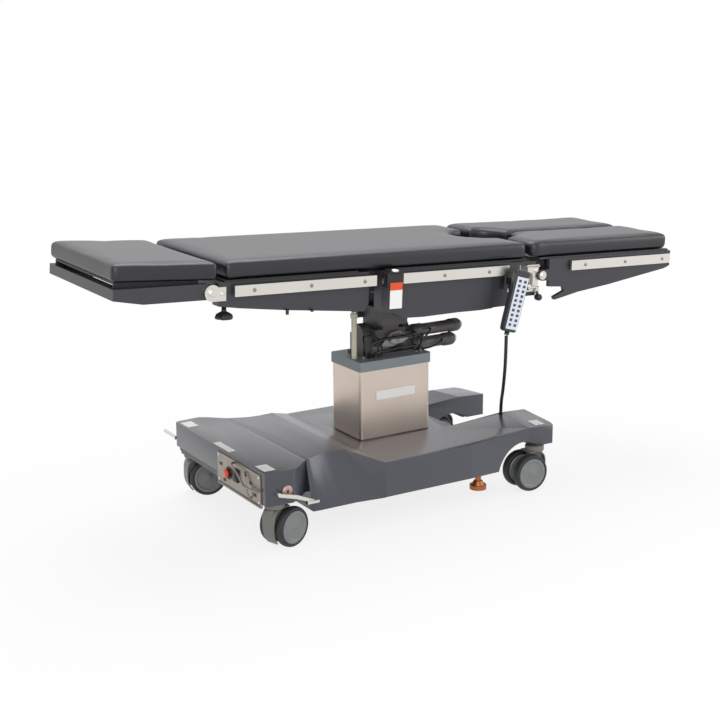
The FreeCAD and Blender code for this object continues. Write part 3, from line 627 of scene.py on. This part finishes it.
HEAD_JOINT_FACE = 264
head_bolts = [bolt(-732, HEAD_JOINT_FACE * s, 761, s, 20, 5) for s in (-1, 1)]
head_bolts += [bolt(-700, HEAD_JOINT_FACE * s, 757, s, 10, 3) for s in (-1, 1)]
dress(mesh_piece("head_joint_bolts", *join(*head_bolts), TABLE, smooth=False), "rail_steel", "back")

# %% Leg joint
LEG_JOINT_FACE = 246
LEG_BRACKET_FACE = 255


def span(sign, a, b):
    """The Y range from a to b on the near or the far side."""
    return sorted([sign * a, sign * b])


for side, sign in SIDES:
    bracket = side + "_bracket"
    plate = block((404, 454), span(sign, 240, LEG_JOINT_FACE), (690, 766), 3)
    bolts = [bolt(416, LEG_JOINT_FACE * sign, 700, sign, 12, 5),
             bolt(440, LEG_JOINT_FACE * sign, 752, sign, 12, 5)]
    arm = block((420, 434), span(sign, LEG_JOINT_FACE, 254), (700, 744), 3)
    top_bar = block((400, 452), span(sign, 236, 250), (765, 771.5), 2)
    cheek = block((442, 456), span(sign, 240, 252), (672, 700), 4)
    joint = join(plate, arm, top_bar, cheek, *bolts)
    dress(mesh_piece(side + "_leg_joint_fittings", *joint, TABLE, smooth=False),
          "rail_steel", bracket)
    groove = block((407, 414), span(sign, 245.5, 247), (688, 742), 0.6)
    knob = turned([(0.01, 246), (9, 246), (11, 249), (11, 262), (8, 267), (0.01, 268)],
                  "y", (0, 0, 0), 32)
    knob = (knob[0] * [1, sign, 1] + [447, 0, 664], knob[1])
    stem = tube([(447, sign * 246, 690), (447, sign * 250, 676), (447, sign * 252, 664)], 4, 12)
    dress(mesh_piece(side + "_leg_joint_lever", *join(groove, knob, stem), TABLE),
          "black_plastic", bracket)
    pin = bolt(462, LEG_BRACKET_FACE * sign, 735, sign, 20, 5)
    dress(mesh_piece(side + "_leg_pin_head", *pin, TABLE, smooth=False), "rail_steel", bracket)

# %% Studs, end plates and lock knob
STUDS = ((-488, 680, 696), (-405, 682, 690))
studs = [turned([(0.01, z0), (4, z0), (5, z0 + 1.5), (5, z1), (0.01, z1)], "z", (x, 255 * s, 0), 20)
         for s in (-1, 1) for x, z0, z1 in STUDS]
dress(mesh_piece("frame_studs", *join(*studs), TABLE), "black_plastic", "back")

# Plates that close the seat frame's open ends behind the hand control
end_plates = [block((312, 372), span(s, 244, 250), (700, 786), 2) for s in (-1, 1)]
dress(mesh_piece("seat_end_plates", *join(*end_plates), TABLE, smooth=False), "frame_grey", "seat")

# Lobed lock knob below the back frame
lock_knob = turned([(0.01, 677.5), (20, 677.5), (26, 680), (26.5, 684), (24, 690), (15, 696),
                    (9, 699), (7, 702), (7, 713), (0.01, 713)],
                   "z", (-680, -229, 0), 72, lambda a: 1 + 0.07 * np.cos(6 * a))
dress(mesh_piece("lock_knob", *lock_knob, TABLE), "black_plastic", "lock_knob", ["head_lock_knob"])

# %% [markdown]
# ## Rail clamp with its card
# A black clamp block hooks over the seat rail near its head end, with a bright thumb screw
# on top. A card with an orange upper band hangs from it; the card stays blank.

# %% Clamp, screw and card
CLAMP_X, CLAMP_INNER_Y = (-164, -106), (-271, -257.5)
CARD_X = (-157, -113)
clamp_body = join(block(CLAMP_X, (-292, -271), (741, 785), 3),
                  block((-158, -112), (-291, -272), (784, 788), 1.5),
                  block(CLAMP_X, CLAMP_INNER_Y, (780.3, 785), 0.8),
                  block(CLAMP_X, CLAMP_INNER_Y, (741, 746), 0.8))
dress(mesh_piece("clamp_block", *clamp_body, TABLE, smooth=False),
      "black_plastic", "clamp", ["rail_clamp"])
screw = turned([(0.01, 782), (5, 782), (5, 788.2), (12, 788.4), (13, 789.5), (13, 793),
                (11, 795.6), (6, 797.2), (0.01, 797.4)],
               "z", (-135, -281, 0), 60, lambda a: 1 + 0.03 * np.cos(20 * a))
dress(mesh_piece("clamp_thumb_screw", *screw, TABLE), "rail_steel", "clamp_screw", ["clamp_knob"])
card = block(CARD_X, (-294.5, -292.5), (677, 734), 0.7)
dress(mesh_piece("card", *card, TABLE, smooth=False), "card_white", "clamp", ["tag_card"])
band = block(CARD_X, (-294.8, -292.2), (733.5, 757), 0.7)
dress(mesh_piece("card_band", *band, TABLE, smooth=False), "card_orange", "clamp")

# %% [markdown]
# ## Hand control
# A pale membrane face on a dark case, with two columns of keys. The case is a rounded shell
# whose ends taper: the same rounded rectangle is drawn at each level with its own scale.

# %% Case, face and keys
HAND = Matrix.Translation((345.6, -300, 752.4)) @ Matrix.Rotation(math.radians(16), 4, "Y")
CASE_WIDTH, CASE_DEPTH, CASE_STEPS = 57, 27, 48
KEY_ROWS, KEY_PITCH, FIRST_KEY = 10, 15.8, -34


def superellipse(width, depth, power, steps=CASE_STEPS):
    """Points of |x/a|^p + |y/b|^p = 1."""
    a = np.linspace(0, 2 * np.pi, steps, endpoint=False)
    c, s = np.cos(a), np.sin(a)
    k = (np.abs(c) ** power + np.abs(s) ** power) ** (-1 / power)
    return np.column_stack([width / 2 * c * k, depth / 2 * s * k])


levels = [(0, 0.1), (0, 0.80), (-1.5, 0.93), (-5, 1.0), (-165, 1.0), (-190, 0.96), (-197, 0.88),
          (-200, 0.7), (-200, 0.1)]
rows = []
for z, scale in levels:
    ring = superellipse(CASE_WIDTH * scale, CASE_DEPTH * (0.6 + 0.4 * scale), 6) + [0, -1.5]
    rows.append(np.column_stack([ring, np.full(CASE_STEPS, z)]))
case = (np.vstack(rows), grid_faces(len(rows), CASE_STEPS))
boss = turned([(0.01, -212), (7, -212), (8, -210), (8, -199), (0.01, -199)], steps=32)
dress(mesh_piece("hand_case", *join(case, boss), HAND), "case_dark", "seat",
      ["handset_case"])
face = block((-23, 23), (-16.6, -14.6), (-191, -21), 0.8)
dress(mesh_piece("hand_face", *face, HAND, smooth=False), "handset_pale", "seat",
      ["handset_keypad"])
keys = []
for row in range(KEY_ROWS):
    for column in (-1, 1):
        x, z = 10.5 * column, FIRST_KEY - row * KEY_PITCH
        keys.append(block((x - 5.5, x + 5.5), (-17.3, -16.4), (z - 4.4, z + 4.4), 0.7))
dress(mesh_piece("hand_keys", *join(*keys), HAND, smooth=False), "key_blue", "seat")

# %% [markdown]
# ## The cord
# The cord leaves the lower end of the hand control straight down, swings in below the top and
# ends at the base. It is a curve through its own way points with a round section.

# %% The cord
CORD = [(286.9, -300, 546), (287, -299, 470), (312, -262, 400), (350, -206, 330),
        (385, -154, 285), (400, -132, 240), (400, -132, 206)]
curve = bpy.data.curves.new("hand_cord", "CURVE")
curve.dimensions = "3D"
curve.bevel_depth = 0.0055
curve.bevel_resolution = 4
curve.resolution_u = 24
curve.use_fill_caps = True
spline = curve.splines.new("NURBS")
spline.points.add(len(CORD) - 1)
for point, (x, y, z) in zip(spline.points, CORD):
    point.co = (x / 1000, y / 1000, z / 1000, 1)
spline.order_u = 3
spline.use_endpoint_u = True
cord = bpy.data.objects.new("hand_cord", curve)
bpy.context.scene.collection.objects.link(cord)
dress(cord, "cord_black", "base", ["handset_cord"])

# %% [markdown]
# ## Tilt drive
# Two dark cylinders lie beside the pedestal. Each has a domed hood at its outer end with a
# pale cap, a collar, and thin hoses that loop back to the pedestal. Cast links lie across
# the drive's near face, and black conduits run along it.

# %% Tilt drive shapes
DRIVE_Y = -46
LOW_DRIVE, HIGH_DRIVE = 494, 539
DRIVE_LEFT, LOW_DRIVE_RIGHT, HIGH_DRIVE_RIGHT = 91, 258, 280
CAP_TOP = 470


def side_shape(outline, y0, y1, chamfer=1.5):
    """A plate with chamfered rims: its (x, z) outline at four depths, the outer two drawn in."""
    p = np.asarray(outline, float)
    middle = p.mean(0)
    small = middle + (p - middle) * (1 - 2 * chamfer / np.ptp(p, axis=0).max())
    n = len(p)
    rows = [(small, y0), (p, y0 + chamfer), (p, y1 - chamfer), (small, y1)]
    points = np.vstack([np.column_stack([q[:, 0], np.full(n, y), q[:, 1]]) for q, y in rows])
    faces = grid_faces(4, n).tolist() + [list(range(n))[::-1], list(range(3 * n, 4 * n))]
    return points, faces


def cylinder_drive(x0, x1, z):
    """A turned cylinder along X with a collar at its left end and a domed hood at its right."""
    body = [(0.01, x0), (21.5, x0), (22, x0 + 2), (22, x0 + 34), (19.5, x0 + 36),
            (19.5, x1 - 44), (22, x1 - 42), (22.3, x1 - 12), (20, x1 - 4), (15.5, x1), (0.01, x1)]
    return turned(body, "x", (0, DRIVE_Y, z), 40)


def drive_cap(x, z):
    """A pale turned cap on the hood that ends at x."""
    return turned([(0.01, x), (14, x), (14, x + 5), (11, x + 8), (0.01, x + 8)],
                  "x", (0, DRIVE_Y, z), 32)


# %% Tilt drive
drives = join(cylinder_drive(DRIVE_LEFT, LOW_DRIVE_RIGHT, LOW_DRIVE),
              cylinder_drive(DRIVE_LEFT, HIGH_DRIVE_RIGHT, HIGH_DRIVE),
              block((118, 136), (-58, -34), (470.5, 532), 3))
dress(mesh_piece("tilt_drives", *drives), "dark_metal", "column_head", ["tilt_actuators"])
caps = join(drive_cap(LOW_DRIVE_RIGHT, LOW_DRIVE), drive_cap(HIGH_DRIVE_RIGHT, HIGH_DRIVE))
dress(mesh_piece("drive_caps", *caps), "plate_white", "column_head")

# %% Hoses and their fittings
HOSES = (
    [(150, -66, 545), (140, -82, 540), (112, -84, 515), (104, -70, 486), (104, -54, 474)],
    [(200, -64, 500), (186, -80, 496), (150, -82, 486), (128, -66, 478), (120, -58, 474)],
    [(-94, -48, 474), (-100, -58, 496), (-102, -60, 520), (-98, -50, 536), (-92, -40, 540)],
    [(94, -50, 474), (104, -72, 486), (112, -74, 510), (120, -66, 530)])
hoses = [tube(smooth_path(p), 3.2, 10) for p in HOSES]
dress(mesh_piece("drive_hoses", *join(*hoses)), "cord_black", "column_head")
fittings = join(*[turned([(0.01, 0), (5, 0), (5, 8), (3.4, 9), (3.4, 12), (0.01, 12)],
                         "z", (x, y, CAP_TOP), 6)
                  for x, y in ((104, -54), (120, -58), (-94, -48))])
dress(mesh_piece("hose_fittings", *fittings, smooth=False), "rail_steel", "column_head")

# %% Links, pins and conduits
LINK_PINS = [(-4, -71, 534, 14), (30, -71, 544, 10), (22, -80, 526, 12)]
CONDUITS = (
    (5.0, [(-84, -64, 474), (-92, -78, 500), (-80, -86, 526), (-50, -92, 536), (0, -94, 538),
           (50, -88, 536), (92, -68, 538)]),
    (4.2, [(-70, -62, 474), (-66, -80, 492), (-30, -94, 498), (10, -95, 502), (60, -84, 498),
           (92, -68, 496)]),
    (2.2, [(-52, -70, 474), (-60, -76, 515), (-80, -72, 552), (-92, -60, 566)]),
    (2.2, [(-40, -70, 474), (-46, -78, 515), (-66, -74, 546), (-84, -60, 560)]))
link_plate = side_shape([(-46, 506), (-24, 530), (-8, 548), (26, 553), (54, 540), (40, 518),
                         (4, 502)], -71, -65)
lens = side_shape([(-14, 520), (2, 512), (36, 514), (58, 526), (50, 538), (14, 542), (-8, 534)],
                  -80, -74)
dress(mesh_piece("tilt_links", *join(link_plate, lens), smooth=False), "link_grey", "cross")
link_pins = join(*[bolt(x, y, z, -1, across, 4) for x, y, z, across in LINK_PINS])
dress(mesh_piece("tilt_link_pins", *link_pins, smooth=False), "screw_steel", "cross")
conduits = join(*[tube(smooth_path(p), r, 12) for r, p in CONDUITS])
dress(mesh_piece("drive_conduits", *conduits), "cord_black", "column_head")

# %% [markdown]
# ## Base details
# The head end has a scuffed steel panel with a red stop button, a black inlet socket, small
# slots and two bent levers. A disc sits on each side near the head end, and blank plates
# lie where a real table carries its labels.

# %% End panel
PANEL = -605
BUTTON_AT = (PANEL, -82, 185)
SLOT_PLACES = ((-200, 206), (-186, 168), (-236, 190), (-262, 160), (-58, 150), (-34, 196))
LONG_LEVER = [(-606, -108, 226), (-618, -128, 224), (-621, -170, 212), (-620, -205, 186),
              (-618, -236, 182), (-612, -284, 184)]
SHORT_LEVER = [(-606, -196, 222), (-614, -204, 214), (-616, -220, 186), (-614, -226, 160),
               (-606, -228, 146)]


def facing_out(piece, at):
    """A piece turned about X, mirrored to point towards the head end and put at a place."""
    return piece[0] * [-1, 1, 1] + at, piece[1]


button = turned([(0.01, 0), (9, 0), (9, 6), (13, 7), (14.5, 9), (14.5, 12), (12.5, 15), (0.01, 16)],
                "x", (0, 0, 0), 40)
dress(mesh_piece("stop_button", *facing_out(button, BUTTON_AT)),
      "red_plastic", "button", ["red_button"])
ring = turned([(15.6, 0), (20, 0), (20, 2), (18, 3), (15.6, 3), (15.6, 0)], "x", (0, 0, 0), 40)
socket = block((-613, PANEL), (-152, -118), (172, 212), 2)
inlet = block((-614.5, -612), (-146, -124), (180, 204), 1)
slots = [block((-606.2, -604.5), (y, y + 16), (z, z + 9), 0.4) for y, z in SLOT_PLACES]
fittings = join(facing_out(ring, BUTTON_AT), socket, inlet, *slots)
dress(mesh_piece("panel_fittings", *fittings), "black_plastic", "base")
levers = join(tube(smooth_path(LONG_LEVER), 3.4, 12), tube(smooth_path(SHORT_LEVER), 2.6, 12),
              block((-609, -604.8), (-286, -8), (133.5, 140), 1.2))
dress(mesh_piece("panel_lever", *levers), "screw_steel", "base")
screw = turned([(0.01, 0), (4.5, 0), (4.5, 1.5), (3, 2.5), (0.01, 2.5)], "x", (0, 0, 0), 20)
heads = join(*[facing_out(screw, (PANEL, y, z)) for y in (-280, -13) for z in (148, 226)])
dress(mesh_piece("panel_screws", *heads), "rail_steel", "base")

# %% Discs on the sides
DISC_X, DISC_HEIGHT, SIDE_FACE = -535, 186, 326
round_cap = turned([(0.01, 0), (17, 0), (18, 1.5), (16, 4), (6, 5), (0.01, 5)], "y", (0, 0, 0), 40)
discs = join(*[(round_cap[0] * [1, s, 1] + [DISC_X, SIDE_FACE * s, DISC_HEIGHT], round_cap[1])
               for s in (-1, 1)])
dress(mesh_piece("corner_discs", *discs), "rose_disc", "base")
centres = join(*[block((-539, -531), span(s, 330.8, 332.2), (182, 190), 0.6) for s in (-1, 1)])
dress(mesh_piece("corner_disc_screws", *centres, smooth=False), "black_plastic", "base")

# %% Blank plates
DECK = (247, 247.8)
foot_plate = block((440, 480), (-270, -225), (0.1, 0.9), 0.3)
# The foot end's top slopes both ways, so this plate's height follows a plane in x and y.
foot_plate[0][:, 2] += (227 - 0.0445 * (foot_plate[0][:, 0] - 405)
                        + 0.0788 * (foot_plate[0][:, 1] + 118))
plates = join(block((-594, -556), (-296, -236), DECK, 0.3),
              block((-594, -556), (236, 296), DECK, 0.3),
              block((-598, -574), (-70, 40), DECK, 0.3), foot_plate)
dress(mesh_piece("blank_plates", *plates, smooth=False), "plate_white", "base")

# %% [markdown]
# ## Floor, light and camera
# The camera sees a white floor, on which only a soft shadow near the table shows. Soft lamps
# light the table evenly from the front left, the right and above, and the camera stands
# where the photograph was taken.

# %% Floor
FLOOR_HALF, FLOOR_HEIGHT = 30000, -0.5
SHADOW_FROM, SHADOW_TO, SHADOW_WHITE = 1.0, 2.6, 0.82


def seen_directly(tree):
    """1 for rays from the camera, also mirrored or passed on by a surface, otherwise 0."""
    path = add(tree, "ShaderNodeLightPath")
    mirrored = add(tree, "ShaderNodeMath", {"operation": "MAXIMUM"},
                   i0=path.outputs["Is Camera Ray"], i1=path.outputs["Is Glossy Ray"])
    return add(tree, "ShaderNodeMath", {"operation": "MAXIMUM"},
               i0=mirrored.outputs[0], i1=path.outputs["Is Transmission Ray"]).outputs[0]


corners = [(x * FLOOR_HALF, y * FLOOR_HALF, FLOOR_HEIGHT)
           for x, y in ((-1, -1), (1, -1), (1, 1), (-1, 1))]
floor = mesh_piece("floor", corners, [[0, 1, 2, 3]])
ground = bpy.data.materials.new("white studio floor")
ground.use_nodes = True
tree = ground.node_tree
white = add(tree, "ShaderNodeEmission", Color=(1, 1, 1, 1), Strength=1.0)
matt = tree.nodes["Principled BSDF"]
matt.inputs["Base Color"].default_value = linear("#F4F4F4")
matt.inputs["Roughness"].default_value = 0.9
spot = add(tree, "ShaderNodeTexCoord").outputs["Object"]
distance = add(tree, "ShaderNodeVectorMath", {"operation": "LENGTH"}, i0=spot).outputs["Value"]
fade = add(tree, "ShaderNodeMapRange", i0=distance, i1=SHADOW_FROM, i2=SHADOW_TO,
           i3=SHADOW_WHITE, i4=1.0)
share = add(tree, "ShaderNodeMath", {"operation": "MULTIPLY"},
            i0=seen_directly(tree), i1=fade.outputs[0])
shown = add(tree, "ShaderNodeMixShader", i0=share.outputs[0], i1=matt.outputs[0],
            i2=white.outputs[0])
tree.links.new(shown.outputs[0], tree.nodes["Material Output"].inputs[0])
floor.data.materials.append(ground)

# %% World
WORLD_LIGHT, WORLD_SEEN = 0.55, 1.0
world = bpy.data.worlds.new("studio")
bpy.context.scene.world = world
world.use_nodes = True
tree = world.node_tree
background = tree.nodes["Background"]
level = add(tree, "ShaderNodeMapRange", i0=seen_directly(tree), i3=WORLD_LIGHT, i4=WORLD_SEEN)
tree.links.new(level.outputs[0], background.inputs[1])
background.inputs[0].default_value = (1, 1, 1, 1)


# %% Lamps
def lamp(name, at, aim, size, power):
    """A square area lamp at a point in metres, turned towards aim."""
    light = bpy.data.lights.new(name, "AREA")
    light.size = size
    light.energy = power
    holder = bpy.data.objects.new(name, light)
    holder.location = at
    holder.rotation_euler = (Vector(aim) - Vector(at)).to_track_quat("-Z", "Y").to_euler()
    bpy.context.scene.collection.objects.link(holder)


lamp("top_soft", (0.2, 1.2, 4.0), (0, 0, 0.6), 3.0, 90)
lamp("front_soft", (-2.5, -4.0, 2.4), (0, 0, 0.5), 2.5, 70)
lamp("right_soft", (3.5, -2.0, 1.8), (0.2, 0, 0.5), 2.0, 35)

# %% Camera
CAMERA_AT = (-2.3218, -3.6562, 1.5255)
LENS, SENSOR = 67.6, 36
yaw, pitch, roll = 0.55, 0.245, -0.007
eye = bpy.data.cameras.new("camera")
eye.lens = LENS
eye.sensor_width = SENSOR
camera = bpy.data.objects.new("camera", eye)
ahead = Vector((math.sin(yaw) * math.cos(pitch), math.cos(yaw) * math.cos(pitch), -math.sin(pitch)))
level_right = Vector((math.cos(yaw), -math.sin(yaw), 0))
level_up = level_right.cross(ahead)
right = level_right * math.cos(roll) + level_up * math.sin(roll)
up = -level_right * math.sin(roll) + level_up * math.cos(roll)
turn = Matrix((right, up, -ahead)).transposed().to_4x4()
camera.matrix_world = Matrix.Translation(CAMERA_AT) @ turn
bpy.context.scene.collection.objects.link(camera)
bpy.context.scene.camera = camera

bpy.context.scene.view_settings.view_transform = "Standard"
